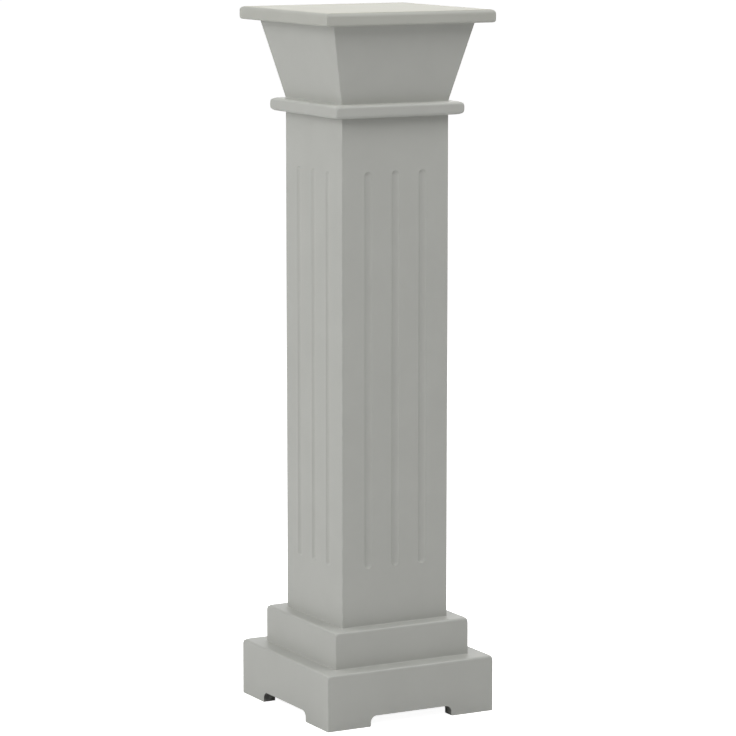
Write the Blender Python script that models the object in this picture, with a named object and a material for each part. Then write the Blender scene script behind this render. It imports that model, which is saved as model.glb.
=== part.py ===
"""Column plant stand: a hollow square pillar of painted fibreboard.

Metres, +Z up. The origin is on the floor, in the middle of the plinth.
The front of the stand faces -Y.
"""

import math

import bmesh
import bpy
from mathutils import Matrix

# Stock and joints
STAND_HEIGHT = 0.660
BOARD = 0.012
JOINT_GAP = 0.0003

# Top board
TOP_WIDTH = 0.176
TOP_UNDER_RADIUS = 0.002
TOP_OVER_RADIUS = 0.0035

# Capital, four boards that lean outwards from the neck board to the top board
CAPITAL_TOP_WIDTH = 0.1476
CAPITAL_FOOT_WIDTH = 0.112
CAPITAL_HEIGHT = 0.073

# Neck board, its edge rounded above and below with a flat between
NECK_WIDTH = 0.134
NECK_EDGE_RADIUS = 0.003

# Shaft
SHAFT_WIDTH = 0.112

# Flutes, shallow coves with ball ends, short of both ends of the shaft
FLUTE_PLACES = (-1, 0, 1)
FLUTE_PITCH = 0.0285
FLUTE_DEPTH = 0.0016
FLUTE_RADIUS = 0.006
FLUTE_LOW_MARGIN = 0.054
FLUTE_HIGH_MARGIN = 0.050

# Plinth, an upper and a lower step, each a box under a cover board
UPPER_PLINTH_WIDTH = 0.1415
UPPER_PLINTH_HEIGHT = 0.035
LOWER_PLINTH_WIDTH = 0.176
LOWER_PLINTH_HEIGHT = 0.053
COVER_EDGE_RADIUS = 0.0022

# Cut-out between the feet of each lower plinth board
FOOT_LENGTH = 0.045
CUTOUT_HEIGHT = 0.010
CUTOUT_RADIUS = 0.006

# Fineness of the round shapes
EDGE_SEGMENTS = 5
CUTTER_SIDES = 32
CUTTER_RINGS = 17

# Levels, from the floor up
LOWER_COVER_BOTTOM = LOWER_PLINTH_HEIGHT - BOARD
UPPER_PLINTH_TOP = LOWER_PLINTH_HEIGHT + UPPER_PLINTH_HEIGHT
UPPER_COVER_BOTTOM = UPPER_PLINTH_TOP - BOARD
TOP_BOARD_BOTTOM = STAND_HEIGHT - BOARD
NECK_TOP = TOP_BOARD_BOTTOM - CAPITAL_HEIGHT
NECK_BOTTOM = NECK_TOP - BOARD

# Walls are modelled facing the front and turned a quarter turn for each next side
SIDES = ("front", "right", "back", "left")

PAINT_COLOUR = (0.50, 0.51, 0.47, 1.0)
PAINT_ROUGHNESS = 0.45


def clear_scene():
    """Remove every object, so that the file holds only the stand."""
    for old in list(bpy.data.objects):
        bpy.data.objects.remove(old, do_unlink=True)


def make_collection(name):
    """Add a collection under the scene's own."""
    collection = bpy.data.collections.new(name)
    bpy.context.scene.collection.children.link(collection)
    return collection


def paint(name):
    """Light grey satin paint for one board."""
    material = bpy.data.materials.new(name + "_paint")
    material.use_nodes = True
    shader = material.node_tree.nodes["Principled BSDF"]
    shader.inputs["Base Color"].default_value = PAINT_COLOUR
    shader.inputs["Roughness"].default_value = PAINT_ROUGHNESS
    shader.inputs["Metallic"].default_value = 0.0
    return material


def add_object(name, bm, collection):
    """Turn a bmesh into a named object in a collection."""
    mesh = bpy.data.meshes.new(name)
    bmesh.ops.recalc_face_normals(bm, faces=bm.faces)
    bm.to_mesh(mesh)
    bm.free()
    thing = bpy.data.objects.new(name, mesh)
    collection.objects.link(thing)
    return thing


def add_board(name, bm, collection, side=0):
    """Turn a bmesh into a painted board, turned to its side of the stand."""
    board = add_object(name, bm, collection)
    board.rotation_euler.z = side * math.pi / 2
    board.data.materials.append(paint(name))
    return board


def add_cutter(name, bm, collection, side):
    """Turn a bmesh into a hidden cutter, turned to its side of the stand."""
    cutter = add_object(name, bm, collection)
    cutter.rotation_euler.z = side * math.pi / 2
    cutter.hide_render = True
    cutter.display_type = "WIRE"
    return cutter


def cut(board, cutter):
    """Take a cutter's shape out of a board."""
    difference = board.modifiers.new("cut_" + cutter.name, "BOOLEAN")
    difference.operation = "DIFFERENCE"
    difference.solver = "EXACT"
    difference.object = cutter


def box(width, depth, bottom, top):
    """A box centred on the Z axis, between two levels."""
    bm = bmesh.new()
    size = Matrix.Diagonal((width, depth, top - bottom, 1.0))
    lift = Matrix.Translation((0.0, 0.0, (top + bottom) / 2))
    bmesh.ops.create_cube(bm, size=1.0, matrix=lift @ size)
    return bm


def round_level_edges(bm, level, radius):
    """Round the edges that run level at the given height."""
    edges = []
    for edge in bm.edges:
        ends = [abs(vert.co.z - level) for vert in edge.verts]
        if max(ends) < JOINT_GAP / 2:
            edges.append(edge)
    bmesh.ops.bevel(
        bm, geom=edges, offset=radius, segments=EDGE_SEGMENTS, profile=0.5, affect="EDGES")


def square_board(width, bottom, top, under_radius, over_radius):
    """A level square board whose lower and upper edges may be rounded."""
    bm = box(width, width, bottom, top)
    if over_radius:
        round_level_edges(bm, top, over_radius)
    if under_radius:
        round_level_edges(bm, bottom, under_radius)
    return bm


def wall(bottom_width, top_width, bottom, top):
    """The front wall of a square tube, mitred at both ends, upright or leaning.

    A cube's eight corners are moved to the wall's: its outer face follows the
    tube's width, its inner face lies a board's thickness behind it, and its
    ends lie along the tube's diagonals, half a joint gap short of them.
    """
    lean = math.atan2((top_width - bottom_width) / 2, top - bottom)
    level_thickness = BOARD / math.cos(lean)
    mitre_gap = JOINT_GAP / 2 * math.sqrt(2)
    bm = bmesh.new()
    bmesh.ops.create_cube(bm, size=2.0)
    for vert in bm.verts:
        end, inner, upper = vert.co.x, vert.co.y > 0, vert.co.z > 0
        depth = (top_width if upper else bottom_width) / 2
        if inner:
            depth -= level_thickness
        vert.co = (end * (depth - mitre_gap), -depth, top if upper else bottom)
    return bm


def flute_cutter():
    """Three upright rods with ball ends that cut the flutes of the front wall.

    Each is a sphere with an odd number of rings, so none lies on its equator:
    lifting the upper half leaves a straight rod between two half spheres.
    """
    bm = bmesh.new()
    rod_radius = FLUTE_RADIUS / math.cos(math.pi / (2 * CUTTER_RINGS))
    axis_depth = -SHAFT_WIDTH / 2 + FLUTE_DEPTH - FLUTE_RADIUS
    end_reach = math.sqrt(FLUTE_RADIUS ** 2 - (FLUTE_RADIUS - FLUTE_DEPTH) ** 2)
    low_centre = UPPER_PLINTH_TOP + FLUTE_LOW_MARGIN + end_reach
    high_centre = NECK_BOTTOM - FLUTE_HIGH_MARGIN - end_reach
    for place in FLUTE_PLACES:
        ball = bmesh.ops.create_uvsphere(
            bm, u_segments=CUTTER_SIDES, v_segments=CUTTER_RINGS, radius=rod_radius)
        for vert in ball["verts"]:
            vert.co.x += place * FLUTE_PITCH
            vert.co.y += axis_depth
            vert.co.z += high_centre if vert.co.z > 0 else low_centre
    return bm


def cutout_cutter():
    """A bar with its two upper edges rounded, for the gap between two feet."""
    bm = box(LOWER_PLINTH_WIDTH - 2 * FOOT_LENGTH, 3 * BOARD, -CUTOUT_HEIGHT, CUTOUT_HEIGHT)
    ends = []
    for edge in bm.edges:
        low = min(vert.co.z for vert in edge.verts)
        across = abs(edge.verts[0].co.x - edge.verts[1].co.x)
        if low > 0 and across < JOINT_GAP:
            ends.append(edge)
    bmesh.ops.bevel(
        bm, geom=ends, offset=CUTOUT_RADIUS, segments=EDGE_SEGMENTS, profile=0.5, affect="EDGES")
    wall_middle = (BOARD - LOWER_PLINTH_WIDTH) / 2
    bmesh.ops.translate(bm, verts=bm.verts, vec=(0.0, wall_middle, 0.0))
    return bm


def build_lower_plinth(stand, cutters):
    """Four side boards on bracket feet, and the cover board that closes them."""
    for side, place in enumerate(SIDES):
        sides = wall(LOWER_PLINTH_WIDTH, LOWER_PLINTH_WIDTH, 0.0, LOWER_COVER_BOTTOM - JOINT_GAP)
        board = add_board("lower_plinth_" + place, sides, stand, side)
        cut(board, add_cutter("foot_gap_" + place, cutout_cutter(), cutters, side))
    cover = square_board(
        LOWER_PLINTH_WIDTH, LOWER_COVER_BOTTOM, LOWER_PLINTH_HEIGHT, 0.0, COVER_EDGE_RADIUS)
    add_board("lower_plinth_cover", cover, stand)


def build_upper_plinth(stand):
    """Four low side boards and the cover board that the shaft stands on."""
    for side, place in enumerate(SIDES):
        sides = wall(
            UPPER_PLINTH_WIDTH, UPPER_PLINTH_WIDTH,
            LOWER_PLINTH_HEIGHT + JOINT_GAP, UPPER_COVER_BOTTOM - JOINT_GAP)
        add_board("upper_plinth_" + place, sides, stand, side)
    cover = square_board(
        UPPER_PLINTH_WIDTH, UPPER_COVER_BOTTOM, UPPER_PLINTH_TOP, 0.0, COVER_EDGE_RADIUS)
    add_board("upper_plinth_cover", cover, stand)


def build_shaft(stand, cutters):
    """Four tall mitred boards with three stopped flutes each."""
    for side, place in enumerate(SIDES):
        plain = wall(SHAFT_WIDTH, SHAFT_WIDTH, UPPER_PLINTH_TOP + JOINT_GAP, NECK_BOTTOM - JOINT_GAP)
        board = add_board("shaft_" + place, plain, stand, side)
        cut(board, add_cutter("flutes_" + place, flute_cutter(), cutters, side))


def build_neck(stand):
    """The neck board, its edge rounded above and below."""
    neck = square_board(NECK_WIDTH, NECK_BOTTOM, NECK_TOP, NECK_EDGE_RADIUS, NECK_EDGE_RADIUS)
    add_board("neck_board", neck, stand)


def build_capital(stand):
    """Four mitred boards that lean outwards."""
    for side, place in enumerate(SIDES):
        leaning = wall(
            CAPITAL_FOOT_WIDTH, CAPITAL_TOP_WIDTH,
            NECK_TOP + JOINT_GAP, TOP_BOARD_BOTTOM - JOINT_GAP)
        add_board("capital_" + place, leaning, stand, side)


def build_top(stand):
    """The top board, its edge rounded above and below."""
    top = square_board(TOP_WIDTH, TOP_BOARD_BOTTOM, STAND_HEIGHT, TOP_UNDER_RADIUS, TOP_OVER_RADIUS)
    add_board("top_board", top, stand)


def main():
    """Build the stand from the floor up."""
    clear_scene()
    stand = make_collection("column_plant_stand")
    cutters = make_collection("cutters")
    build_lower_plinth(stand, cutters)
    build_upper_plinth(stand)
    build_shaft(stand, cutters)
    build_neck(stand)
    build_capital(stand)
    build_top(stand)


main()
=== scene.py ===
"""Looks of the column plant stand: its boards, their paint, and the studio round it.

Metres, +Z up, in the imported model's own frame. The front of the stand faces -Y.
Every board is modelled for the front and turned a quarter turn for each next side.
"""

import logging
import math
from dataclasses import dataclass
from enum import Enum
from typing import Callable, List, Optional, Sequence, Tuple

import bmesh
import bpy
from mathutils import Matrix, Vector


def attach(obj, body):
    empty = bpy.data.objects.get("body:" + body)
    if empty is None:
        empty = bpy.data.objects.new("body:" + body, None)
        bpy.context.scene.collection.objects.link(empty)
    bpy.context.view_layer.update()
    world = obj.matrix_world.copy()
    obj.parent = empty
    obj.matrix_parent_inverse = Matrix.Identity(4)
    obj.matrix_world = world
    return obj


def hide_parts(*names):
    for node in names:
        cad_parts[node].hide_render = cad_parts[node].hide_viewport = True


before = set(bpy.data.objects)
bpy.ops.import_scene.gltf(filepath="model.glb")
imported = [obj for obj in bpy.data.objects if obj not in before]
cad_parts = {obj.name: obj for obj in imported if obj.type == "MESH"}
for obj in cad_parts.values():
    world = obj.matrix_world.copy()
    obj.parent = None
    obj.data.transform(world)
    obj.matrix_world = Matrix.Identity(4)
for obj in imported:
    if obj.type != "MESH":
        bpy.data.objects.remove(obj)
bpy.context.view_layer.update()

log = logging.getLogger("plant_stand")

BODY = "root"

# Stock
BOARD = 0.012
QUARTER_TURN = math.pi / 2

# Fineness of the round shapes
CORNER_STEPS = 6
EDGE_STEPS = 8
WEAR_STEPS = 4
BEAD_STEPS = 4
SOFT_STEPS = 2
SMOOTH_ANGLE = math.radians(35)
FLAT_WEIGHT = 80

# Places are compared to within this distance, and shares to within this part
NEAR = 0.00002
SLIGHT = 0.0001

# Corners closer than this are one
TOUCHING = NEAR / 10

# Most of a noise lies between these values
USUAL_LOW = 0.3
USUAL_HIGH = 0.7

Colour = Tuple[float, float, float, float]
Point = Tuple[float, float, float]
Test = Callable[[object], bool]


class Side(Enum):
    """The four sides of the stand, by the quarter turns from the front."""

    FRONT = 0
    RIGHT = 1
    BACK = 2
    LEFT = 3

    @property
    def word(self) -> str:
        """The side's name as the boards use it."""
        return self.name.lower()


class Part(Enum):
    """What edit mode picks, with Blender's own word for it."""

    CORNERS = "VERT"
    EDGES = "EDGE"
    FACES = "FACE"


class Coat(Enum):
    """The material slot of a face: paint outside, bare board inside, a dark painted shade in the foot
    gaps.
    """

    PAINT = 0
    BARE = 1
    PRIMER = 2


CoatChoice = Callable[[bpy.types.MeshPolygon], Coat]


@dataclass(frozen=True)
class Ring:
    """One level outline of a square solid.

    Attributes:
        half: Half the outline's width.
        level: Its height above the floor.
        corner: Radius of its corners, or zero for sharp ones.
    """

    half: float
    level: float
    corner: float = 0.0


# Modelling by hand


def deselect_all() -> None:
    """Leave nothing selected in object mode."""
    bpy.ops.object.select_all(action="DESELECT")


def take(piece: bpy.types.Object) -> None:
    """Make one object the only selected one, and the active one.

    Args:
        piece: The object to work on.
    """
    deselect_all()
    piece.select_set(True)
    bpy.context.view_layer.objects.active = piece


def start_edit(piece: bpy.types.Object) -> None:
    """Take an object into edit mode."""
    take(piece)
    bpy.ops.object.mode_set(mode="EDIT")


def end_edit() -> None:
    """Return to object mode."""
    bpy.ops.object.mode_set(mode="OBJECT")


def end_closed() -> None:
    """Turn all faces outwards, and return to object mode."""
    bpy.ops.mesh.select_all(action="SELECT")
    bpy.ops.mesh.normals_make_consistent(inside=False)
    end_edit()


def settle() -> None:
    """Apply the selected object's place, turn and scale to its mesh."""
    bpy.ops.object.transform_apply(location=True, rotation=True, scale=True)


def pick(piece: bpy.types.Object, part: Part, wanted: Test) -> int:
    """Select, in edit mode, what a test accepts.

    Args:
        piece: The object in edit mode.
        part: Corners, edges or faces.
        wanted: Says of one corner, edge or face if it is wanted.

    Returns:
        How many were selected.
    """
    bpy.ops.mesh.select_mode(type=part.value)
    bpy.ops.mesh.select_all(action="DESELECT")
    shape = bmesh.from_edit_mesh(piece.data)
    shape.normal_update()
    elements = {Part.CORNERS: shape.verts, Part.EDGES: shape.edges, Part.FACES: shape.faces}[part]
    found = 0
    for element in elements:
        if wanted(element):
            element.select_set(True)
            found += 1
    bmesh.update_edit_mesh(piece.data)
    return found


def reround_corners(solid: bpy.types.Object, ring: Ring, growth: float) -> None:
    """Change the radius of the topmost outline's corners.

    Each corner's arc is scaled about the sharp corner that it rounds, so it
    still runs smoothly into both sides.

    Args:
        solid: The solid in edit mode.
        ring: Its topmost outline.
        growth: The corners' new radius divided by the present one.
    """
    for across in (1.0, -1.0):
        for along in (1.0, -1.0):
            pick(solid, Part.CORNERS, lambda corner: corner.co.z > ring.level - NEAR
                 and corner.co.x * across > 0 and corner.co.y * along > 0)
            bpy.ops.transform.resize(
                value=(growth, growth, 1.0),
                center_override=(across * ring.half, along * ring.half, ring.level))
    pick(solid, Part.FACES, lambda face: all(
        corner.co.z > ring.level - NEAR for corner in face.verts))


def new_solid(name: str, rings: Sequence[Ring]) -> bpy.types.Object:
    """Raise a square solid from its lowest outline, ring by ring.

    A plane of the first ring's width has its corners rounded, is extruded to
    each next level and is scaled to each next width.

    Args:
        name: The new object's name.
        rings: The outlines, from the lowest to the highest.

    Returns:
        The closed solid, in object mode, at the origin.
    """
    last = rings[0]
    deselect_all()
    bpy.ops.mesh.primitive_plane_add(size=2 * last.half, location=(0.0, 0.0, last.level))
    solid = bpy.context.active_object
    solid.name = name
    solid.data.name = name
    settle()
    start_edit(solid)
    bpy.ops.mesh.select_all(action="SELECT")
    if last.corner:
        bpy.ops.mesh.bevel(
            offset_type="OFFSET", offset=last.corner, segments=CORNER_STEPS, affect="VERTICES")
    for ring in rings[1:]:
        rise = (0.0, 0.0, ring.level - last.level)
        bpy.ops.mesh.extrude_region_move(TRANSFORM_OT_translate={"value": rise})
        spread = ring.half / last.half
        bpy.ops.transform.resize(
            value=(spread, spread, 1.0), center_override=(0.0, 0.0, ring.level))
        growth = ring.corner / (last.corner * spread) if last.corner else 1.0
        if abs(growth - 1.0) > SLIGHT:
            reround_corners(solid, ring, growth)
        last = ring
    end_closed()
    return solid


def take_out(piece: bpy.types.Object, cutter: bpy.types.Object) -> None:
    """Cut a shape out of a piece, and throw the cutter away.

    Args:
        piece: The solid that is cut.
        cutter: The solid that cuts.
    """
    cut = piece.modifiers.new("cut", "BOOLEAN")
    cut.operation = "DIFFERENCE"
    cut.solver = "EXACT"
    cut.object = cutter
    take(piece)
    bpy.ops.object.modifier_apply(modifier=cut.name)
    bpy.data.objects.remove(cutter, do_unlink=True)


def keep_front_wall(tube: bpy.types.Object) -> None:
    """Mitre a square tube along both diagonals, and keep its front wall.

    Args:
        tube: The closed tube round the Z axis.
    """
    start_edit(tube)
    for across in (1.0, -1.0):
        bpy.ops.mesh.select_all(action="SELECT")
        bpy.ops.mesh.bisect(
            plane_co=(0.0, 0.0, 0.0), plane_no=(across, 1.0, 0.0),
            use_fill=True, clear_outer=True, threshold=TOUCHING)
    end_closed()


def new_front_wall(name: str, rings: Sequence[Ring], core: Sequence[Ring]) -> bpy.types.Object:
    """Model a closed square tube, and keep its front wall.

    Args:
        name: The wall's name.
        rings: The tube's outside, from the lowest outline to the highest.
        core: The hollow inside it, which runs past both ends.

    Returns:
        The front wall, mitred at both ends.
    """
    tube = new_solid(name, rings)
    take_out(tube, new_solid("core", core))
    keep_front_wall(tube)
    return tube


def soften(piece: bpy.types.Object, wanted: Test, width: float, steps: int = SOFT_STEPS) -> None:
    """Round over the edges that a test accepts.

    Args:
        piece: The object to work on.
        wanted: Says of one edge if it is rounded.
        width: How far the rounding reaches on each side.
        steps: How many facets it has.
    """
    start_edit(piece)
    found = pick(piece, Part.EDGES, wanted)
    if found:
        bpy.ops.mesh.bevel(
            offset_type="OFFSET", offset=width, segments=steps, profile=0.5,
            affect="EDGES", clamp_overlap=True)
    end_edit()
    log.debug("%s: %d edges softened", piece.name, found)


def mid_level(edge: bmesh.types.BMEdge) -> float:
    """The height of an edge's middle."""
    return (edge.verts[0].co.z + edge.verts[1].co.z) / 2


def lies_on(edge: bmesh.types.BMEdge, axis: int, place: float) -> bool:
    """Say if both ends of an edge lie at one place on an axis, 0, 1 or 2 for X, Y or Z."""
    return all(abs(corner.co[axis] - place) < NEAR for corner in edge.verts)


def meets_flat(edge: bmesh.types.BMEdge, flat: Vector) -> bool:
    """Say if exactly one of an edge's two faces faces a given way.

    Args:
        edge: The edge.
        flat: The direction, of unit length.

    Returns:
        True if one face has that normal and the other turns away from it.
    """
    parallel, turned = 0.9999, 0.985
    if len(edge.link_faces) != 2:
        return False
    slopes = sorted(face.normal.dot(flat) for face in edge.link_faces)
    return slopes[1] > parallel and slopes[0] < turned


@dataclass(frozen=True)
class CornerWear:
    """How the upright corners of a board get rounder towards its faces.

    Attributes:
        plain: Radius of the corners in the middle of the board's edge.
        knocked: Their radius at the face, where sanding knocks them off more.
        reach: How far from the face that starts.
    """

    plain: float = 0.0009
    knocked: float = 0.008
    reach: float = 0.0055

    def radius_at(self, depth: float) -> float:
        """The corners' radius at a depth from the face."""
        share = max(0.0, 1.0 - depth / self.reach)
        return self.plain + (self.knocked - self.plain) * (1.0 - math.sqrt(1.0 - share ** 2))


def over_edge(half: float, level: float, radius: float, wear: CornerWear) -> List[Ring]:
    """The rings of a rounded upper edge, from below upwards.

    Args:
        half: Half the board's full width.
        level: The height of the board's upper face.
        radius: The edge's radius.
        wear: How round its corners are.

    Returns:
        The rings, from where the corners start to get rounder up to the face.
    """
    rings = []
    for step in range(WEAR_STEPS):
        depth = wear.reach + (radius - wear.reach) * step / WEAR_STEPS
        rings.append(Ring(half, level - depth, wear.radius_at(depth)))
    for step in range(EDGE_STEPS + 1):
        turn = QUARTER_TURN * step / EDGE_STEPS
        depth = radius * (1.0 - math.sin(turn))
        rings.append(Ring(
            half - radius * (1.0 - math.cos(turn)), level - depth, wear.radius_at(depth)))
    return rings


def under_edge(half: float, level: float, radius: float, wear: CornerWear) -> List[Ring]:
    """The rings of the same edge under a board, from below upwards."""
    upside_down = over_edge(half, -level, radius, wear)
    return [Ring(ring.half, -ring.level, ring.corner) for ring in reversed(upside_down)]


def foot_bead(half: float, level: float, size: float, corner: float,
              lean: float = 0.0) -> List[Ring]:
    """The rings of the small hollow bead of filler at a wall's foot.

    Args:
        half: Half the wall's width at that level.
        level: The height that the wall stands on.
        size: The bead's radius.
        corner: Radius of the wall's upright corners.
        lean: How much the half width grows for each metre of height.

    Returns:
        The rings, from the level that the wall stands on upwards.
    """
    rings = []
    for step in range(BEAD_STEPS + 1):
        turn = QUARTER_TURN * step / BEAD_STEPS
        rise = size * (1.0 - math.cos(turn))
        out = size * (1.0 - math.sin(turn))
        rings.append(Ring(half + lean * rise + out, level + rise, corner))
    return rings


def head_bead(half: float, level: float, size: float, corner: float,
              lean: float = 0.0) -> List[Ring]:
    """The rings of the same bead under a wall's head, from below upwards."""
    upside_down = foot_bead(half, -level, size, corner, -lean)
    return [Ring(ring.half, -ring.level, corner) for ring in reversed(upside_down)]


def turned_copy(piece: bpy.types.Object, name: str, side: Side) -> bpy.types.Object:
    """Copy a front board, mesh and all, and turn it to its side.

    Args:
        piece: The front board.
        name: The copy's name.
        side: The side that the copy belongs on.

    Returns:
        The copy, its turn applied to its mesh.
    """
    copy = piece.copy()
    copy.data = piece.data.copy()
    copy.name = name
    copy.data.name = name
    bpy.context.scene.collection.objects.link(copy)
    copy.rotation_euler.z = side.value * QUARTER_TURN
    take(copy)
    settle()
    return copy


def finish_mesh(piece: bpy.types.Object) -> None:
    """Merge corners that coincide, and shade a piece smooth over its roundings only.

    Args:
        piece: The piece, its shape complete.
    """
    start_edit(piece)
    bpy.ops.mesh.select_all(action="SELECT")
    bpy.ops.mesh.remove_doubles(threshold=TOUCHING)
    end_edit()
    bpy.ops.object.shade_smooth_by_angle(angle=SMOOTH_ANGLE)
    weighted = piece.modifiers.new("flat_faces_stay_flat", "WEIGHTED_NORMAL")
    weighted.keep_sharp = True
    weighted.weight = FLAT_WEIGHT
    bpy.ops.object.modifier_apply(modifier=weighted.name)
    deselect_all()


def coat_faces(piece: bpy.types.Object, materials: Sequence[bpy.types.Material],
               coat_of: CoatChoice) -> None:
    """Give each face of a piece its finish.

    Args:
        piece: The piece.
        materials: The materials, in the order of the coats.
        coat_of: Says which coat one face has.
    """
    coats = [coat_of(face) for face in piece.data.polygons]
    piece.data.materials.clear()
    for material in materials[:1 + max(coat.value for coat in coats)]:
        piece.data.materials.append(material)
    for face, coat in zip(piece.data.polygons, coats):
        face.material_index = coat.value


def hand_over(piece: bpy.types.Object, node: str) -> None:
    """Let a finished piece stand for its packed board.

    Args:
        piece: The finished piece.
        node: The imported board's name.
    """
    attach(piece, BODY)
    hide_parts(node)
    log.info("%s: %d faces, stands for %s", piece.name, len(piece.data.polygons), node)


# Materials


@dataclass(frozen=True)
class Grain:
    """How fine a noise is.

    Attributes:
        detail: Octaves.
        roughness: How strong the finer octaves are.
        swirl: How far it is distorted.
    """

    detail: float
    roughness: float = 0.5
    swirl: float = 0.0


class Wiring:
    """Adds nodes and links to one node tree."""

    def __init__(self, tree: bpy.types.NodeTree) -> None:
        """Keep the tree that is wired."""
        self.tree = tree

    def add(self, kind: str, **settings: object) -> bpy.types.Node:
        """Add a node.

        Args:
            kind: The node's type.
            settings: Properties of the node.

        Returns:
            The node.
        """
        node = self.tree.nodes.new(kind)
        for name, value in settings.items():
            setattr(node, name, value)
        return node

    def join(self, source: object, target: bpy.types.NodeSocket) -> None:
        """Link a socket to another, or set it where the source is a plain value.

        Args:
            source: A socket, a number or a tuple.
            target: The socket that takes it.
        """
        if isinstance(source, bpy.types.NodeSocket):
            self.tree.links.new(source, target)
        else:
            target.default_value = source

    def where(self) -> bpy.types.NodeSocket:
        """The place on the object."""
        return self.add("ShaderNodeTexCoord").outputs["Object"]

    def split(self, where: bpy.types.NodeSocket) -> Sequence[bpy.types.NodeSocket]:
        """Add a Separate XYZ node.

        Args:
            where: The place.

        Returns:
            Its X, its Y and its Z.
        """
        node = self.add("ShaderNodeSeparateXYZ")
        self.join(where, node.inputs[0])
        return tuple(node.outputs)

    def sum(self, operation: str, *terms: object, clamp: bool = False) -> bpy.types.NodeSocket:
        """Add a Math node.

        Args:
            operation: Its operation.
            terms: Its inputs, sockets or numbers.
            clamp: Whether the result is kept from 0 to 1.

        Returns:
            The result.
        """
        node = self.add("ShaderNodeMath", operation=operation, use_clamp=clamp)
        for term, target in zip(terms, node.inputs):
            self.join(term, target)
        return node.outputs[0]

    def remap(self, value: object, start: object, end: object, low: object, high: object,
              smooth: bool = False) -> bpy.types.NodeSocket:
        """Add a Map Range node.

        Args:
            value: What is mapped.
            start: The value that gives low.
            end: The value that gives high.
            low: The result at start.
            high: The result at end.
            smooth: Whether the passage is eased at both ends.

        Returns:
            The result.
        """
        node = self.add("ShaderNodeMapRange", interpolation_type="SMOOTHSTEP" if smooth else "LINEAR")
        for term, name in zip((value, start, end, low, high),
                              ("Value", "From Min", "From Max", "To Min", "To Max")):
            self.join(term, node.inputs[name])
        return node.outputs["Result"]

    def noise(self, where: bpy.types.NodeSocket, scale: object,
              grain: Grain) -> bpy.types.NodeSocket:
        """Add a Noise Texture node.

        Args:
            where: The coordinates.
            scale: Waves to the metre.
            grain: How fine it is.

        Returns:
            The noise, from 0 to 1.
        """
        node = self.add("ShaderNodeTexNoise")
        self.join(where, node.inputs["Vector"])
        self.join(scale, node.inputs["Scale"])
        node.inputs["Detail"].default_value = grain.detail
        node.inputs["Roughness"].default_value = grain.roughness
        node.inputs["Distortion"].default_value = grain.swirl
        return node.outputs["Fac"]

    def bump(self, height: bpy.types.NodeSocket, depth: float,
             normal: Optional[bpy.types.NodeSocket] = None) -> bpy.types.NodeSocket:
        """Add a Bump node.

        Args:
            height: The relief, from 0 to 1.
            depth: What a height of 1 stands for, in metres.
            normal: The normal that it adds to, if not the surface's own.

        Returns:
            The normal.
        """
        node = self.add("ShaderNodeBump")
        node.inputs["Distance"].default_value = depth
        self.join(height, node.inputs["Height"])
        if normal is not None:
            self.join(normal, node.inputs["Normal"])
        return node.outputs["Normal"]

    def tint(self, share: object, low: object, high: object) -> bpy.types.NodeSocket:
        """Mix two colours.

        Args:
            share: How much of the second.
            low: The first colour.
            high: The second colour.

        Returns:
            The mixed colour.
        """
        node = self.add("ShaderNodeMix", data_type="RGBA")
        self.join(share, node.inputs["Factor"])
        self.join(low, node.inputs["A"])
        self.join(high, node.inputs["B"])
        return node.outputs["Result"]

    def scaled(self, colour: object, factor: bpy.types.NodeSocket) -> bpy.types.NodeSocket:
        """Multiply a colour by a number.

        Args:
            colour: The colour.
            factor: The number.

        Returns:
            The product.
        """
        node = self.add("ShaderNodeVectorMath", operation="SCALE")
        self.join(colour, node.inputs[0])
        self.join(factor, node.inputs["Scale"])
        return node.outputs[0]


def new_material(name: str) -> Tuple[bpy.types.Material, Wiring, bpy.types.Node]:
    """Start a material.

    Args:
        name: Its name.

    Returns:
        The material, its wiring and its Principled shader.
    """
    material = bpy.data.materials.new(name)
    material.use_nodes = True
    tree = material.node_tree
    return material, Wiring(tree), tree.nodes["Principled BSDF"]


class SharedEffect:
    """A shader node group with named inputs and outputs, built once."""

    name = ""
    inputs: Tuple[Tuple[str, float], ...] = ()
    outputs: Tuple[str, ...] = ()

    def __init__(self) -> None:
        """Build the group's sockets and its inside."""
        self.tree = bpy.data.node_groups.new(self.name, "ShaderNodeTree")
        for label, value in self.inputs:
            socket = self.tree.interface.new_socket(
                name=label, in_out="INPUT", socket_type="NodeSocketFloat")
            socket.default_value = value
        for label in self.outputs:
            self.tree.interface.new_socket(
                name=label, in_out="OUTPUT", socket_type="NodeSocketFloat")
        self.wiring = Wiring(self.tree)
        self.source = self.wiring.add("NodeGroupInput")
        self.result = self.wiring.add("NodeGroupOutput")
        self.build()

    def build(self) -> None:
        """Wire the inside of the group."""
        raise NotImplementedError

    def given(self, label: str) -> bpy.types.NodeSocket:
        """One of the group's inputs, seen from inside."""
        return self.source.outputs[label]

    def give(self, label: str, value: bpy.types.NodeSocket) -> None:
        """Send a value to one of the group's outputs."""
        self.wiring.join(value, self.result.inputs[label])

    def place(self, wiring: Wiring, **values: float) -> bpy.types.Node:
        """Put the group in a material.

        Args:
            wiring: The material's wiring.
            values: Its inputs, underscores standing for spaces.

        Returns:
            The group node.
        """
        node = wiring.add("ShaderNodeGroup", node_tree=self.tree)
        for label, value in values.items():
            wiring.join(value, node.inputs[label.replace("_", " ").title()])
        return node


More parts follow.
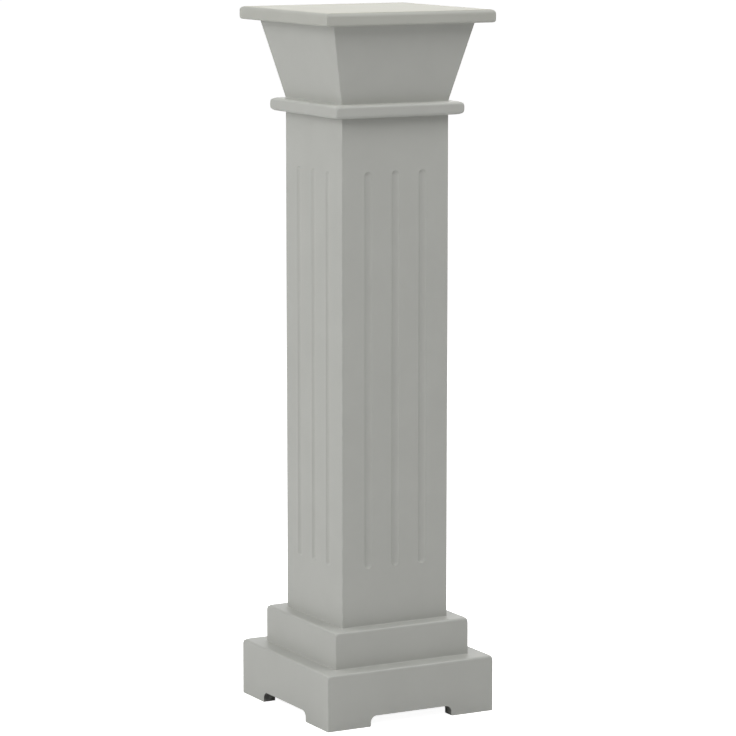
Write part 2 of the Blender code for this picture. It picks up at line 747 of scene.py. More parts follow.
class SprayedFilm(SharedEffect):
    """The slight waviness and cloudiness of a sprayed film of paint."""

    name = "sprayed_film"
    inputs = (
        ("Ripple Scale", 420.0), ("Grit Scale", 1900.0), ("Cloud Scale", 16.0),
        ("Base Roughness", 0.5), ("Roughness Spread", 0.08))
    outputs = ("Cloud", "Height", "Roughness")
    ripples = Grain(2.0, 0.55, 0.3)
    grit = Grain(1.0)
    grit_start = 0.68
    grit_full = 0.8
    grit_share = 0.35
    clouds = Grain(4.0, 0.6, 0.6)
    smears = Grain(2.0)
    smears_to_cloud = 4.3
    cloud_part = 0.6
    smear_part = 0.4

    def build(self) -> None:
        """Ripples and grit give the height, clouds the tone, and clouds and smears the sheen."""
        wiring = self.wiring
        where = wiring.where()
        cloud_scale = self.given("Cloud Scale")
        ripple = wiring.noise(where, self.given("Ripple Scale"), self.ripples)
        grit = wiring.noise(where, self.given("Grit Scale"), self.grit)
        specks = wiring.remap(grit, self.grit_start, self.grit_full, 0.0, 1.0)
        cloud = wiring.noise(where, cloud_scale, self.clouds)
        smear_scale = wiring.sum("MULTIPLY", cloud_scale, self.smears_to_cloud)
        smear = wiring.noise(where, smear_scale, self.smears)
        sheen = wiring.sum(
            "ADD", wiring.sum("MULTIPLY", cloud, self.cloud_part),
            wiring.sum("MULTIPLY", smear, self.smear_part))
        spread = wiring.sum(
            "MULTIPLY", self.given("Roughness Spread"), wiring.sum("SUBTRACT", sheen, 0.5))
        self.give("Cloud", cloud)
        self.give("Height", wiring.sum("MULTIPLY_ADD", specks, self.grit_share, ripple))
        self.give("Roughness", wiring.sum("ADD", self.given("Base Roughness"), spread, clamp=True))


class EdgeWearAndHighlight(SharedEffect):
    """A mask of a square board's arrises, broken up in patches, for the edges' rubbed wear and their
    painted highlight.
    """

    name = "edge_wear_and_highlight"
    inputs = (
        ("Foot Half", 0.05), ("Head Half", 0.05), ("Foot Level", 0.0), ("Head Level", 1.0),
        ("Reach", 0.002))
    outputs = ("Mask",)
    patch_scale = 70.0
    patch_grain = Grain(3.0, 0.6)
    patch_start = 0.42
    patch_full = 0.66

    def build(self) -> None:
        """An arris lies where two of the three distances to the outside are small."""
        wiring = self.wiring
        where = wiring.where()
        x_place, y_place, level = wiring.split(where)
        across = wiring.sum("ABSOLUTE", x_place)
        along = wiring.sum("ABSOLUTE", y_place)
        foot_level, head_level = self.given("Foot Level"), self.given("Head Level")
        half = wiring.remap(
            level, foot_level, head_level, self.given("Foot Half"), self.given("Head Half"))
        reach = self.given("Reach")
        edge = wiring.sum("SUBTRACT", half, reach)
        upright = wiring.remap(wiring.sum("MINIMUM", across, along), edge, half, 0.0, 1.0, True)
        rim = wiring.remap(wiring.sum("MAXIMUM", across, along), edge, half, 0.0, 1.0, True)
        head = wiring.remap(
            level, wiring.sum("SUBTRACT", head_level, reach), head_level, 0.0, 1.0, True)
        foot = wiring.remap(
            level, foot_level, wiring.sum("ADD", foot_level, reach), 1.0, 0.0, True)
        level_edges = wiring.sum("MULTIPLY", rim, wiring.sum("MAXIMUM", head, foot))
        edges = wiring.sum("MAXIMUM", upright, level_edges)
        patches = wiring.remap(
            wiring.noise(where, self.patch_scale, self.patch_grain),
            self.patch_start, self.patch_full, 0.0, 1.0, True)
        self.give("Mask", wiring.sum("MULTIPLY", edges, patches, clamp=True))


class BoardFibre(SharedEffect):
    """The short matted fibres of fibreboard, which also show faintly through paint."""

    name = "board_fibre"
    inputs = (("Fibre Scale", 900.0), ("Clump Scale", 140.0))
    outputs = ("Fibre", "Clump")
    squeeze = (1.0, 1.0, 2.6)
    fibres = Grain(4.0, 0.65, 0.8)
    clumps = Grain(3.0, 0.6)

    def build(self) -> None:
        """Stretched fine noise for the fibres, and a coarser one for the clumps."""
        wiring = self.wiring
        where = wiring.where()
        squeezed = wiring.add("ShaderNodeMapping")
        squeezed.inputs["Scale"].default_value = self.squeeze
        wiring.join(where, squeezed.inputs["Vector"])
        self.give("Fibre", wiring.noise(
            squeezed.outputs["Vector"], self.given("Fibre Scale"), self.fibres))
        self.give("Clump", wiring.noise(where, self.given("Clump Scale"), self.clumps))


class UpperFaceTint(SharedEffect):
    """A mask of a tint on a board's upper face."""

    name = "settled_dust"
    inputs = (("Level", 1.0), ("Fade", 0.0008), ("Cover", 1.0))
    outputs = ("Mask",)
    blotch_scale = 24.0
    blotch_grain = Grain(3.0)
    faintest = 0.85

    def build(self) -> None:
        """The tint lies at the face's level, fades over its edge, and is fainter in noisy blotches.
        """
        wiring = self.wiring
        where = wiring.where()
        edge = wiring.sum("SUBTRACT", self.given("Level"), self.given("Fade"))
        lying = wiring.remap(wiring.split(where)[2], edge, self.given("Level"), 0.0, 1.0, True)
        blotches = wiring.noise(where, self.blotch_scale, self.blotch_grain)
        cover = wiring.remap(blotches, USUAL_LOW, USUAL_HIGH, self.faintest, 1.0)
        share = wiring.sum("MULTIPLY", cover, self.given("Cover"))
        self.give("Mask", wiring.sum("MULTIPLY", lying, share, clamp=True))


@dataclass(frozen=True)
class EdgePlaces:
    """Where a sub-assembly's arrises are, for the wear and the painted highlight on them.

    A foot or head level beyond the piece itself keeps them off that end.

    Attributes:
        foot_half: Half its width at the foot.
        head_half: Half its width at the head.
        foot_level: The height of its foot.
        head_level: The height of its head.
    """

    foot_half: float
    head_half: float
    foot_level: float
    head_level: float


@dataclass(frozen=True)
class SatinPaint:
    """Light warm grey satin paint, sprayed.

    Attributes:
        colour: Its mean colour.
        cloud_share: How much darker the dark clouds are than the light ones, as a share.
        roughness: Its mean roughness.
        ripple_height: Depth of the ripples, in metres.
        fibre_height: Depth at which the board's fibres show through, in metres.
        fibre_scale: Fibres to the metre.
        clump_scale: Clumps of fibres to the metre.
        clump_share: How much darker or lighter a clump is, as a share.
        rub_and_highlight_share: How much of the lighter edge colour the edges show, for rubbed wear
            and a painted highlight.
        rub_and_highlight_gain: How much lighter than the paint that colour is.
        rub_polish: How much smoother the handled edges are.
        edge_mark_reach: How far from an arris the rubbing and the painted highlight go, in metres.
        dust: Colour of the tint on the upper face.
        upper_tint_cover: How much of that tint the upper face shows, from 0 to 1.
        upper_tint_fade: How far below the face the tint ends, in metres.
    """

    colour: Colour = (0.475, 0.480, 0.450, 1.0)
    cloud_share: float = 0.045
    roughness: float = 0.48
    ripple_height: float = 0.000036
    fibre_height: float = 0.000022
    fibre_scale: float = 700.0
    clump_scale: float = 60.0
    clump_share: float = 0.006
    rub_and_highlight_share: float = 0.40
    rub_and_highlight_gain: float = 1.25
    rub_polish: float = 0.08
    edge_mark_reach: float = 0.0016
    dust: Colour = (0.494, 0.488, 0.412, 1.0)
    upper_tint_cover: float = 0.0
    upper_tint_fade: float = 0.0008

    def make(self, name: str, film: SprayedFilm, edges: EdgeWearAndHighlight, fibre: BoardFibre,
             upper_tint_effect: UpperFaceTint, places: EdgePlaces) -> bpy.types.Material:
        """Build the paint for one sub-assembly.

        Args:
            name: The sub-assembly's name.
            film: The shared film effect.
            edges: The shared edge mask.
            fibre: The shared fibre effect.
            upper_tint_effect: The shared mask of the upper face's tint.
            places: Where the arrises are.

        Returns:
            The material.
        """
        material, wiring, shader = new_material(name + "_satin_paint")
        sprayed = film.place(wiring, base_roughness=self.roughness)
        matted = fibre.place(wiring, fibre_scale=self.fibre_scale, clump_scale=self.clump_scale)
        worn_and_lit_edges = edges.place(
            wiring, foot_half=places.foot_half, head_half=places.head_half,
            foot_level=places.foot_level, head_level=places.head_level, reach=self.edge_mark_reach)
        half_share = self.cloud_share / 2
        tone = wiring.remap(
            sprayed.outputs["Cloud"], USUAL_LOW, USUAL_HIGH, 1.0 - half_share, 1.0 + half_share)
        mottle = wiring.remap(
            matted.outputs["Clump"], USUAL_LOW, USUAL_HIGH,
            1.0 - self.clump_share, 1.0 + self.clump_share)
        body = wiring.scaled(self.colour[:3], wiring.sum("MULTIPLY", tone, mottle))
        # Lighter colour along the arrises: partly rubbed wear, partly a painted highlight on the
        # edges.
        worn_and_highlight_colour = tuple(min(1.0, channel * self.rub_and_highlight_gain) for channel in self.colour[:3]) + (1.0,)
        share = wiring.sum("MULTIPLY", worn_and_lit_edges.outputs["Mask"], self.rub_and_highlight_share)
        untinted = wiring.tint(share, body, worn_and_highlight_colour)
        # Tint on the upper face, fading over its edge: on the neck a lighter grey that is a painted
        # highlight on its ledge; on the top board a warmer, lighter tone.
        upper_tint_node = upper_tint_effect.place(
            wiring, level=places.head_level, fade=self.upper_tint_fade, cover=self.upper_tint_cover)
        wiring.join(
            wiring.tint(upper_tint_node.outputs["Mask"], untinted, self.dust),
            shader.inputs["Base Color"])
        polish = wiring.sum("MULTIPLY", worn_and_lit_edges.outputs["Mask"], self.rub_polish)
        wiring.join(
            wiring.sum("SUBTRACT", sprayed.outputs["Roughness"], polish, clamp=True),
            shader.inputs["Roughness"])
        fine = wiring.bump(matted.outputs["Fibre"], self.fibre_height)
        wiring.join(
            wiring.bump(sprayed.outputs["Height"], self.ripple_height, fine),
            shader.inputs["Normal"])
        return material


@dataclass(frozen=True)
class BareBoard:
    """Unpainted fibreboard, as it is inside and underneath.

    Attributes:
        dark: Colour of the binder between the fibres.
        light: Colour of the fibres.
        roughness: The roughness of the binder.
        polish: How much smoother the fibres are.
        fibre_height: Depth of the fibres, in metres.
        fibre_scale: Fibres to the metre.
        clump_scale: Clumps of fibres to the metre.
        clump_part: How much of the pattern the clumps make up.
        low: The value of the pattern that is all binder.
        high: The value of the pattern that is all fibre.
    """

    dark: Colour = (0.150, 0.112, 0.076, 1.0)
    light: Colour = (0.315, 0.240, 0.165, 1.0)
    roughness: float = 0.88
    polish: float = 0.12
    fibre_height: float = 0.00008
    fibre_scale: float = 1100.0
    clump_scale: float = 110.0
    clump_part: float = 0.3
    low: float = 0.35
    high: float = 0.65

    def make(self, fibre: BoardFibre) -> bpy.types.Material:
        """Build the bare board.

        Args:
            fibre: The shared fibre effect.

        Returns:
            The material.
        """
        material, wiring, shader = new_material("bare_fibreboard")
        matted = fibre.place(wiring, fibre_scale=self.fibre_scale, clump_scale=self.clump_scale)
        blend = wiring.sum(
            "MULTIPLY_ADD", matted.outputs["Fibre"], 1.0 - self.clump_part,
            wiring.sum("MULTIPLY", matted.outputs["Clump"], self.clump_part))
        share = wiring.remap(blend, self.low, self.high, 0.0, 1.0)
        wiring.join(wiring.tint(share, self.dark, self.light), shader.inputs["Base Color"])
        wiring.join(
            wiring.remap(blend, self.low, self.high, self.roughness, self.roughness - self.polish),
            shader.inputs["Roughness"])
        wiring.join(
            wiring.bump(matted.outputs["Fibre"], self.fibre_height), shader.inputs["Normal"])
        return material


@dataclass(frozen=True)
class PaintedGapShade:
    """A dark finish on the sawn faces of the foot gaps: painted shade, standing for the shadow in the
    gaps.

    Attributes:
        dark: Its darker colour, in the pores.
        light: Its lighter colour, on the fibres.
        roughness: Its mean roughness.
        roughness_spread: How far the roughness strays from that.
        fibre_height: Depth of the sawn fibres, in metres.
        fibre_scale: Fibres to the metre.
        clump_scale: Clumps of fibres to the metre.
        low: The value of the clumps that is all dark.
        high: The value of the clumps that is all light.
    """

    # Dark colours for the sawn faces in the foot gaps: painted shade, standing for the shadow there.
    dark: Colour = (0.110, 0.111, 0.101, 1.0)
    light: Colour = (0.225, 0.226, 0.210, 1.0)
    roughness: float = 0.80
    roughness_spread: float = 0.08
    fibre_height: float = 0.00006
    fibre_scale: float = 520.0
    clump_scale: float = 150.0
    low: float = 0.35
    high: float = 0.65

    def make(self, fibre: BoardFibre) -> bpy.types.Material:
        """Build the painted gap shade.

        Args:
            fibre: The shared fibre effect.

        Returns:
            The material.
        """
        material, wiring, shader = new_material("dark_primer")
        sawn = fibre.place(wiring, fibre_scale=self.fibre_scale, clump_scale=self.clump_scale)
        share = wiring.remap(sawn.outputs["Clump"], self.low, self.high, 0.0, 1.0, True)
        wiring.join(wiring.tint(share, self.dark, self.light), shader.inputs["Base Color"])
        wiring.join(
            wiring.remap(
                sawn.outputs["Fibre"], USUAL_LOW, USUAL_HIGH,
                self.roughness + self.roughness_spread, self.roughness - self.roughness_spread),
            shader.inputs["Roughness"])
        wiring.join(wiring.bump(sawn.outputs["Fibre"], self.fibre_height), shader.inputs["Normal"])
        return material


class Finishes:
    """The stand's paint, bare board and painted gap shade, with the effects that they share."""

    def __init__(self) -> None:
        """Build the shared effects, the bare board and the painted gap shade."""
        self.film = SprayedFilm()
        self.edges = EdgeWearAndHighlight()
        self.fibre = BoardFibre()
        self.upper_tint_effect = UpperFaceTint()
        self.bare = BareBoard().make(self.fibre)
        self.primer = PaintedGapShade().make(self.fibre)

    def paint(self, name: str, places: EdgePlaces,
              coat: SatinPaint = SatinPaint()) -> bpy.types.Material:
        """The satin paint of one sub-assembly, by its name and where its arrises are."""
        return coat.make(name, self.film, self.edges, self.fibre, self.upper_tint_effect, places)


# The stand


@dataclass
class SubAssembly:
    """A part of the stand that is built and painted together.

    Attributes:
        finishes: The stand's materials.
        corner: Radius of the upright arrises.
        wear: How round the corners of its level boards are.
        bead: Radius of the filler beads in the inner corners.
        soft: Width of the roundings on cut edges.
    """

    finishes: Finishes
    corner: float = 0.0009
    wear: CornerWear = CornerWear()
    bead: float = 0.0003
    soft: float = 0.0004

    def coats(self, paint: bpy.types.Material) -> Tuple[bpy.types.Material, ...]:
        """The sub-assembly's materials in the order of the coats."""
        return (paint, self.finishes.bare, self.finishes.primer)

    def place_walls(self, front: bpy.types.Object, label: str, node_label: str,
                    paint: bpy.types.Material, coat_of: CoatChoice) -> None:
        """Coat a front wall, copy it to the other sides, and hand all four over.

        Args:
            front: The front wall, its shape complete.
            label: What the walls are called, before the side.
            node_label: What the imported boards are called, before the side.
            paint: The walls' paint.
            coat_of: Says which coat one face of the front wall has.
        """
        coat_faces(front, self.coats(paint), coat_of)
        walls = [(front, Side.FRONT)]
        for side in (Side.RIGHT, Side.BACK, Side.LEFT):
            walls.append((turned_copy(front, f"{label}_{side.word}", side), side))
        for wall, side in walls:
            finish_mesh(wall)
            hand_over(wall, f"{node_label}_{side.word}")

    def place_level_board(self, board: bpy.types.Object, node: str, paint: bpy.types.Material,
                          bare_level: float) -> None:
        """Coat a level board and hand it over.

        Args:
            board: The board, its shape complete.
            node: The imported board's name.
            paint: The board's paint.
            bare_level: Faces up to this height are left bare.
        """
        coat_faces(board, self.coats(paint), below_is_bare(bare_level))
        finish_mesh(board)
        hand_over(board, node)


def inside_is_bare(outer_half: float, foot: float = 0.0, lean: float = 0.0) -> CoatChoice:
    """Paint a front wall's outside, and leave its inner face, mitres and ends bare.

    Args:
        outer_half: Half the tube's outer width at its foot.
        foot: The height of the foot.
        lean: How much the half width grows for each metre of height.

    Returns:
        The coat of each face.
    """
    def coat_of(face: bpy.types.MeshPolygon) -> Coat:
        """Bare if the face lies behind the middle of the board."""
        middle = outer_half + lean * (face.center.z - foot) - BOARD / 2
        return Coat.BARE if -face.center.y < middle else Coat.PAINT

    return coat_of


def below_is_bare(level: float) -> CoatChoice:
    """Leave a level board's faces bare up to a height, and paint the rest.

    Args:
        level: The height.

    Returns:
        The coat of each face.
    """
    def coat_of(face: bpy.types.MeshPolygon) -> Coat:
        """Bare if the face lies no higher than the level."""
        return Coat.BARE if face.center.z < level + NEAR else Coat.PAINT

    return coat_of


@dataclass
class Plinth(SubAssembly):
    """Side boards under a cover board whose upper edge is rounded.

    Attributes:
        half: Half its width.
        side_top: The height of its side boards' upper ends.
        top: The height of its cover board's upper face.
        edge_radius: The radius of that board's edge.
    """

    half: float = 0.0
    side_top: float = 0.0
    top: float = 0.0
    edge_radius: float = 0.0022

    def place_cover(self, name: str, node: str, paint: bpy.types.Material) -> None:
        """Build the cover board and hand it over.

        Args:
            name: The board's name.
            node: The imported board's name.
            paint: The board's paint.
        """
        rings = [Ring(self.half, self.side_top, self.corner)]
        rings += over_edge(self.half, self.top, self.edge_radius, self.wear)
        self.place_level_board(new_solid(name, rings), node, paint, self.side_top)


@dataclass
class LowerPlinth(Plinth):
    """Four side boards on bracket feet, and the cover board over them."""

    half: float = 0.088
    side_top: float = 0.041
    top: float = 0.053
    foot_length: float = 0.045
    gap_height: float = 0.010
    gap_radius: float = 0.006
    foot_corner: float = 0.0012

    def cut_gap(self, board: bpy.types.Object) -> None:
        """Cut the gap between the feet, and round the feet's inner corners.

        Args:
            board: The front side board.
        """
        gap_half = self.half - self.foot_length
        deselect_all()
        bpy.ops.mesh.primitive_cube_add(size=1.0, location=(0.0, BOARD / 2 - self.half, 0.0))
        bar = bpy.context.active_object
        bar.scale = (2 * gap_half, 3 * BOARD, 2 * self.gap_height)
        settle()
        soften(
            bar, lambda edge: lies_on(edge, 2, self.gap_height)
            and abs(edge.verts[0].co.x - edge.verts[1].co.x) < NEAR,
            self.gap_radius, EDGE_STEPS)
        take_out(board, bar)
        soften(
            board, lambda edge: lies_on(edge, 2, 0.0)
            and (lies_on(edge, 0, gap_half) or lies_on(edge, 0, -gap_half)),
            self.foot_corner, EDGE_STEPS // 2)
        front = Vector((0.0, -1.0, 0.0))
        soften(
            board, lambda edge: mid_level(edge) < self.gap_height + NEAR
            and lies_on(edge, 1, -self.half) and meets_flat(edge, front), self.soft)

    def coat_of(self, face: bpy.types.MeshPolygon) -> Coat:
        """Say which coat a face of the front side board has.

        Args:
            face: The face.

        Returns:
            Painted shade between the feet, bare board inside and in the joints, paint outside.
        """
        mitre = abs(abs(face.normal.x) - abs(face.normal.y)) < NEAR and face.normal.y > 0
        inner = -face.center.y < self.half - BOARD + NEAR
        on_floor = face.center.z < NEAR
        if mitre or inner or on_floor or face.center.z > self.side_top - NEAR:
            return Coat.BARE
        sawn = abs(face.normal.y) < NEAR and face.center.z < self.gap_height + NEAR
        # The sawn faces between the feet get the dark painted shade.
        return Coat.PRIMER if sawn and self.in_gap(face) else Coat.PAINT

    def in_gap(self, face: bpy.types.MeshPolygon) -> bool:
        """Say if a face bounds the gap between the feet."""
        return abs(face.center.x) < self.half - self.foot_length + self.foot_corner

    def build(self) -> None:
        """Build and hand over the lower plinth."""
        paint = self.finishes.paint(
            "lower_plinth", EdgePlaces(self.half, self.half, 0.0, self.top))
        inner_half = self.half - BOARD
        wall = new_front_wall(
            "foot_board_front",
            [Ring(self.half, 0.0, self.corner), Ring(self.half, self.side_top, self.corner)],
            [Ring(inner_half, -BOARD), Ring(inner_half, self.side_top + BOARD)])
        self.cut_gap(wall)
        self.place_walls(wall, "foot_board", "lower_plinth", paint, self.coat_of)
        self.place_cover("foot_cover", "lower_plinth_cover", paint)


@dataclass
class UpperPlinth(Plinth):
    """Four low side boards and the cover board that the shaft stands on."""

    half: float = 0.07075
    foot: float = 0.053
    side_top: float = 0.076
    top: float = 0.088
    bead: float = 0.0008

    def build(self) -> None:
        """Build and hand over the upper plinth."""
        paint = self.finishes.paint(
            "upper_plinth", EdgePlaces(self.half, self.half, self.foot - BOARD, self.top))
        rings = foot_bead(self.half, self.foot, self.bead, self.corner)
        rings += [Ring(self.half, self.side_top, self.corner)]
        inner_half = self.half - BOARD
        wall = new_front_wall(
            "step_board_front", rings,
            [Ring(inner_half, self.foot - BOARD), Ring(inner_half, self.top)])
        self.place_walls(wall, "step_board", "upper_plinth", paint, inside_is_bare(self.half))
        self.place_cover("step_cover", "upper_plinth_cover", paint)


@dataclass
class Shaft(SubAssembly):
    """Four tall mitred boards with three stopped flutes each."""

    half: float = 0.056
    foot: float = 0.088
    head: float = 0.563
    flute_places: Tuple[int, ...] = (-1, 0, 1)
    flute_pitch: float = 0.0285
    flute_depth: float = 0.0016
    flute_radius: float = 0.006
    flute_low_margin: float = 0.054
    flute_high_margin: float = 0.050
    rod_sides: int = 128
    rod_rings: int = 65
    bead: float = 0.0006

    def new_rods(self) -> bpy.types.Object:
        """Model the three ball-ended rods that hollow out the flutes.

        Returns:
            One object with the three rods.
        """
        end_reach = math.sqrt(
            self.flute_radius ** 2 - (self.flute_radius - self.flute_depth) ** 2)
        low = self.foot + self.flute_low_margin + end_reach
        high = self.head - self.flute_high_margin - end_reach
        axis = self.flute_depth - self.half - self.flute_radius
        rods = []
        for place in self.flute_places:
            deselect_all()
            bpy.ops.mesh.primitive_uv_sphere_add(
                segments=self.rod_sides, ring_count=self.rod_rings, radius=self.flute_radius,
                location=(place * self.flute_pitch, axis, low))
            rod = bpy.context.active_object
            settle()
            start_edit(rod)
            pick(rod, Part.CORNERS, lambda corner: corner.co.z > low)
            bpy.ops.transform.translate(value=(0.0, 0.0, high - low))
            end_edit()
            rods.append(rod)
        deselect_all()
        for rod in rods:
            rod.select_set(True)
        bpy.context.view_layer.objects.active = rods[0]
        bpy.ops.object.join()
        return rods[0]

    def build(self) -> None:
        """Build and hand over the shaft."""
        paint = self.finishes.paint(
            "shaft", EdgePlaces(self.half, self.half, self.foot - BOARD, self.head + BOARD))
        rings = foot_bead(self.half, self.foot, self.bead, self.corner)
        rings += head_bead(self.half, self.head, self.bead, self.corner)
        inner_half = self.half - BOARD
        wall = new_front_wall(
            "shaft_board_front", rings,
            [Ring(inner_half, self.foot - BOARD), Ring(inner_half, self.head + BOARD)])
        take_out(wall, self.new_rods())
        front = Vector((0.0, -1.0, 0.0))
        flute_span = max(self.flute_places) * self.flute_pitch + self.flute_radius
        soften(
            wall, lambda edge: lies_on(edge, 1, -self.half) and meets_flat(edge, front)
            and abs(edge.verts[0].co.x) < flute_span
            and self.foot + BOARD < mid_level(edge) < self.head - BOARD, self.soft)
        self.place_walls(wall, "shaft_board", "shaft", paint, inside_is_bare(self.half))


@dataclass
class EdgedBoard(SubAssembly):
    """A level board, its edge rounded above and below with a flat between.

    Attributes:
        label: What the board is called in its paint and its packed board.
        name: The finished board's name.
        half: Half its width.
        bottom: The height of its lower face.
        top: The height of its upper face.
        under_radius: The radius of its edge below.
        over_radius: The radius of its edge above.
        coat: Its paint.
    """

    label: str = ""
    name: str = ""
    half: float = 0.0
    bottom: float = 0.0
    top: float = 0.0
    under_radius: float = 0.0
    over_radius: float = 0.0
    coat: SatinPaint = SatinPaint()

    def build(self) -> None:
        """Build and hand over the board."""
        paint = self.finishes.paint(
            self.label, EdgePlaces(self.half, self.half, self.bottom, self.top), self.coat)
        rings = under_edge(self.half, self.bottom, self.under_radius, self.wear)
        rings += over_edge(self.half, self.top, self.over_radius, self.wear)
        self.place_level_board(new_solid(self.name, rings), self.label + "_board", paint, 0.0)


@dataclass
class Neck(EdgedBoard):
    """The neck board, which the capital stands on."""

    label: str = "neck"
    name: str = "neck_collar"
    half: float = 0.067
    bottom: float = 0.563
    top: float = 0.575
    under_radius: float = 0.003
    over_radius: float = 0.003
    # Much lighter edges and a light grey upper face: a painted highlight on the neck's ledge and
    # edge, together with some rubbed wear.
    coat: SatinPaint = SatinPaint(
        rub_and_highlight_share=0.8, dust=(0.580, 0.585, 0.548, 1.0), upper_tint_cover=1.0, upper_tint_fade=0.0026)


@dataclass
class Capital(SubAssembly):
    """Four mitred boards that lean outwards."""

    foot_half: float = 0.056
    head_half: float = 0.0738
    foot: float = 0.575
    head: float = 0.648

    def build(self) -> None:
        """Build and hand over the capital."""
        paint = self.finishes.paint(
            "capital",
            EdgePlaces(self.foot_half, self.head_half, self.foot, self.head))
        lean = (self.head_half - self.foot_half) / (self.head - self.foot)
        rings = foot_bead(self.foot_half, self.foot, self.bead, self.corner, lean)
        rings += head_bead(self.head_half, self.head, self.bead, self.corner, lean)
        level_thickness = BOARD / math.cos(math.atan(lean))
        below = self.foot_half - level_thickness - lean * BOARD
        above = self.head_half - level_thickness + lean * BOARD
        wall = new_front_wall(
            "flared_board_front", rings,
            [Ring(below, self.foot - BOARD), Ring(above, self.head + BOARD)])
        self.place_walls(
            wall, "flared_board", "capital", paint, inside_is_bare(self.foot_half, self.foot, lean))


@dataclass
class TopBoard(EdgedBoard):
    """The top board, which a pot stands on."""

    label: str = "top"
    name: str = "table_top"
    half: float = 0.088
    bottom: float = 0.648
    top: float = 0.660
    under_radius: float = 0.002
    over_radius: float = 0.0035
    wear: CornerWear = CornerWear(knocked=0.003, reach=0.004)
    # Paint darker and warmer than the other boards' paint. The darkening is painted shade on the top
    # board's edges, and its upper face gets a warmer, lighter tint.
    coat: SatinPaint = SatinPaint(colour=(0.459, 0.462, 0.422, 1.0), upper_tint_cover=1.0)


# The studio


def direction(azimuth: float, elevation: float) -> Vector:
    """The unit vector at an azimuth, 0 in front and 90 on the right, and an elevation."""
    turn, rise = math.radians(azimuth), math.radians(elevation)
    return Vector((
        math.sin(turn) * math.cos(rise), -math.cos(turn) * math.cos(rise), math.sin(rise)))


def stand_off(name: str, data: bpy.types.ID, target: Vector, back: Vector,
              distance: float) -> bpy.types.Object:
    """Place a lamp or a camera off from a point, and aim it at that point.

    Args:
        name: The new object's name.
        data: The lamp or the camera.
        target: The point.
        back: The way from the point towards the object.
        distance: How far off it stands.

    Returns:
        The object.
    """
    thing = bpy.data.objects.new(name, data)
    bpy.context.scene.collection.objects.link(thing)
    thing.location = target + distance * back
    thing.rotation_mode = "QUATERNION"
    thing.rotation_quaternion = (-back).to_track_quat("-Z", "Y")
    return thing


@dataclass(frozen=True)
class SoftBox:
    """One square soft box, aimed at the middle of the stand.

    Attributes:
        name: Its name.
        azimuth: Degrees round the stand.
        elevation: Degrees above the horizon.
        radiance: How bright its face is.
        distance: How far it stands from the middle of the stand.
        size: The length of its side.
    """

    name: str
    azimuth: float
    elevation: float
    radiance: float
    distance: float = 2.0
    size: float = 1.4

    def switch_on(self, middle: Vector) -> None:
        """Add the light.

        Args:
            middle: The point that it is aimed at.
        """
        lamp = bpy.data.lights.new(self.name, "AREA")
        lamp.shape = "SQUARE"
        lamp.size = self.size
        lamp.energy = self.radiance * math.pi * self.size ** 2
        back = direction(self.azimuth, self.elevation)
        light = stand_off(self.name, lamp, middle, back, self.distance)
        light.visible_camera = False


@dataclass(frozen=True)
class StudioFloor:
    """A pale floor that fades into the white of the background.

    Attributes:
        half: Half its width.
        colour: Its colour as the stand sees it.
        roughness: Its roughness.
        shine: How strongly it reflects.
        speckle_scale: Speckles to the metre.
        speckle_grain: How fine they are.
        speckle_share: How much darker or lighter one is, as a share.
        near_glow: What is added near the stand, as the camera sees it.
        far_glow: The same, far from the stand.
        near_reach: How far from the stand's middle the near glow ends.
        far_reach: How far from it the far glow starts.
    """

    half: float = 40.0
    colour: Colour = (0.78, 0.78, 0.78, 1.0)
    roughness: float = 0.9
    shine: float = 0.1
    speckle_scale: float = 90.0
    speckle_grain: Grain = Grain(3.0)
    speckle_share: float = 0.015
    near_glow: float = 0.95
    far_glow: float = 1.04
    near_reach: float = 0.25
    far_reach: float = 1.2

    def lay(self) -> None:
        """Add the floor, marked as not being part of the stand."""
        deselect_all()
        bpy.ops.mesh.primitive_plane_add(size=2 * self.half, location=(0.0, 0.0, 0.0))
        floor = bpy.context.active_object
        floor.name = "studio_floor"
        floor.data.materials.append(self.make_material())

    def make_material(self) -> bpy.types.Material:
        """Build the floor's material.

        Returns:
            The material.
        """
        material, wiring, shader = new_material("pale_floor")
        shader.inputs["Roughness"].default_value = self.roughness
        shader.inputs["Specular IOR Level"].default_value = self.shine
        where = wiring.where()
        speckle = wiring.remap(
            wiring.noise(where, self.speckle_scale, self.speckle_grain), USUAL_LOW, USUAL_HIGH,
            1.0 - self.speckle_share, 1.0 + self.speckle_share)
        wiring.join(wiring.scaled(self.colour[:3], speckle), shader.inputs["Base Color"])
        far_off = wiring.add("ShaderNodeVectorMath", operation="LENGTH")
        wiring.join(where, far_off.inputs[0])
        glow = wiring.remap(
            far_off.outputs["Value"], self.near_reach, self.far_reach,
            self.near_glow, self.far_glow, True)
        seen = wiring.add("ShaderNodeLightPath").outputs["Is Camera Ray"]
        lamp = wiring.add("ShaderNodeEmission")
        wiring.join(wiring.sum("MULTIPLY", glow, seen), lamp.inputs["Strength"])
        both = wiring.add("ShaderNodeAddShader")
        wiring.join(shader.outputs[0], both.inputs[0])
        wiring.join(lamp.outputs[0], both.inputs[1])
        wiring.join(both.outputs[0], wiring.tree.nodes["Material Output"].inputs["Surface"])
        return material


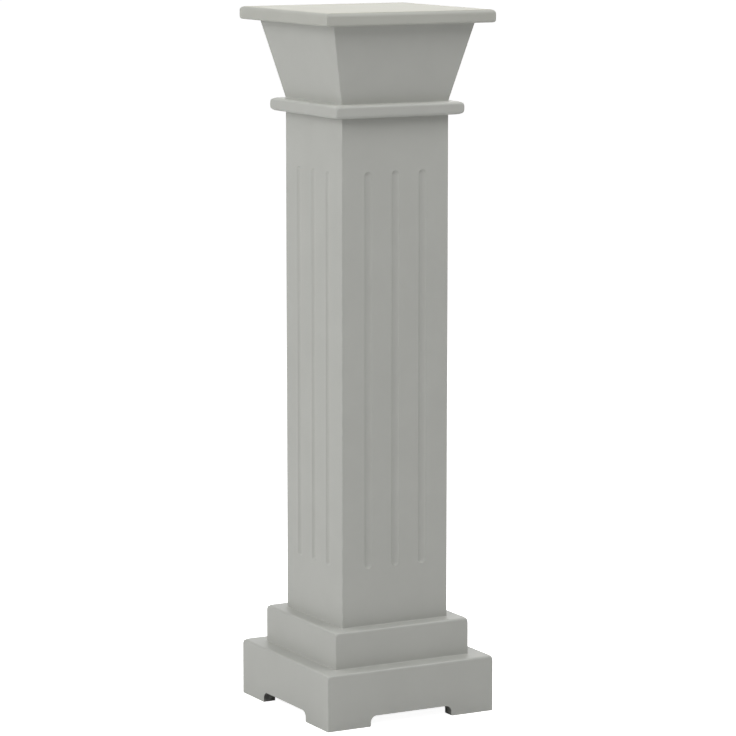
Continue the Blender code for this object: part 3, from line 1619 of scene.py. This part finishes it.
@dataclass(frozen=True)
class Viewpoint:
    """Where the camera stands, and its lens.

    Attributes:
        target: The point that it looks at.
        azimuth: Degrees round the stand.
        elevation: Degrees above the horizon.
        distance: From the target, in metres.
        lens: Focal length, in millimetres.
        sensor: Width of the sensor, in millimetres.
    """

    target: Point = (0.00163, 0.0, 0.32184)
    azimuth: float = -28.50
    elevation: float = 8.552
    distance: float = 3.2418
    lens: float = 168.27
    sensor: float = 36.0

    def set_up(self) -> None:
        """Add the camera and make it the scene's."""
        data = bpy.data.cameras.new("camera")
        data.lens = self.lens
        data.sensor_width = self.sensor
        back = direction(self.azimuth, self.elevation)
        bpy.context.scene.camera = stand_off(
            "camera", data, Vector(self.target), back, self.distance)


@dataclass(frozen=True)
class Studio:
    """The camera, the floor, the soft boxes and the white surroundings.

    Attributes:
        middle: The point that the soft boxes are aimed at.
        ambient: How bright the surroundings are, as the stand sees them.
        backdrop: How bright they are to the camera.
        boxes: The soft boxes.
    """

    middle: Point = (0.0, 0.0, 0.33)
    ambient: float = 0.0
    backdrop: float = 1.04
    boxes: Tuple[SoftBox, ...] = (
        SoftBox("box_front_low", 15.0, 8.0, 0.319),
        SoftBox("box_front_high", 30.0, 50.0, 2.811),
        SoftBox("box_right_high", 90.0, 50.0, 2.058),
        SoftBox("box_left_low", -60.0, 20.0, 2.027),
        SoftBox("box_left_high", -60.0, 50.0, 0.708),
        SoftBox("box_left_behind", -120.0, 20.0, 2.270),
        SoftBox("box_behind_high", -150.0, 50.0, 1.583),
        SoftBox("box_behind_low", 150.0, 20.0, 1.865),
    )

    def surround(self) -> None:
        """Build the world: dark for the stand, white for the camera."""
        world = bpy.data.worlds.new("white_surroundings")
        bpy.context.scene.world = world
        world.use_nodes = True
        wiring = Wiring(world.node_tree)
        sky = world.node_tree.nodes["Background"]
        sky.inputs["Color"].default_value = (1.0, 1.0, 1.0, 1.0)
        seen = wiring.add("ShaderNodeLightPath").outputs["Is Camera Ray"]
        wiring.join(
            wiring.remap(seen, 0.0, 1.0, self.ambient, self.backdrop), sky.inputs["Strength"])

    def set_up(self) -> None:
        """Add everything that isn't the stand."""
        Viewpoint().set_up()
        self.surround()
        StudioFloor().lay()
        for box in self.boxes:
            box.switch_on(Vector(self.middle))
        bpy.context.scene.view_settings.view_transform = "Standard"


def main() -> None:
    """Build the stand from the floor up, then the studio round it."""
    logging.basicConfig(level=logging.INFO, format="%(message)s")
    finishes = Finishes()
    for assembly in (LowerPlinth, UpperPlinth, Shaft, Neck, Capital, TopBoard):
        log.info("building %s", assembly.__name__)
        assembly(finishes).build()
    Studio().set_up()


if __name__ == "__main__":
    main()
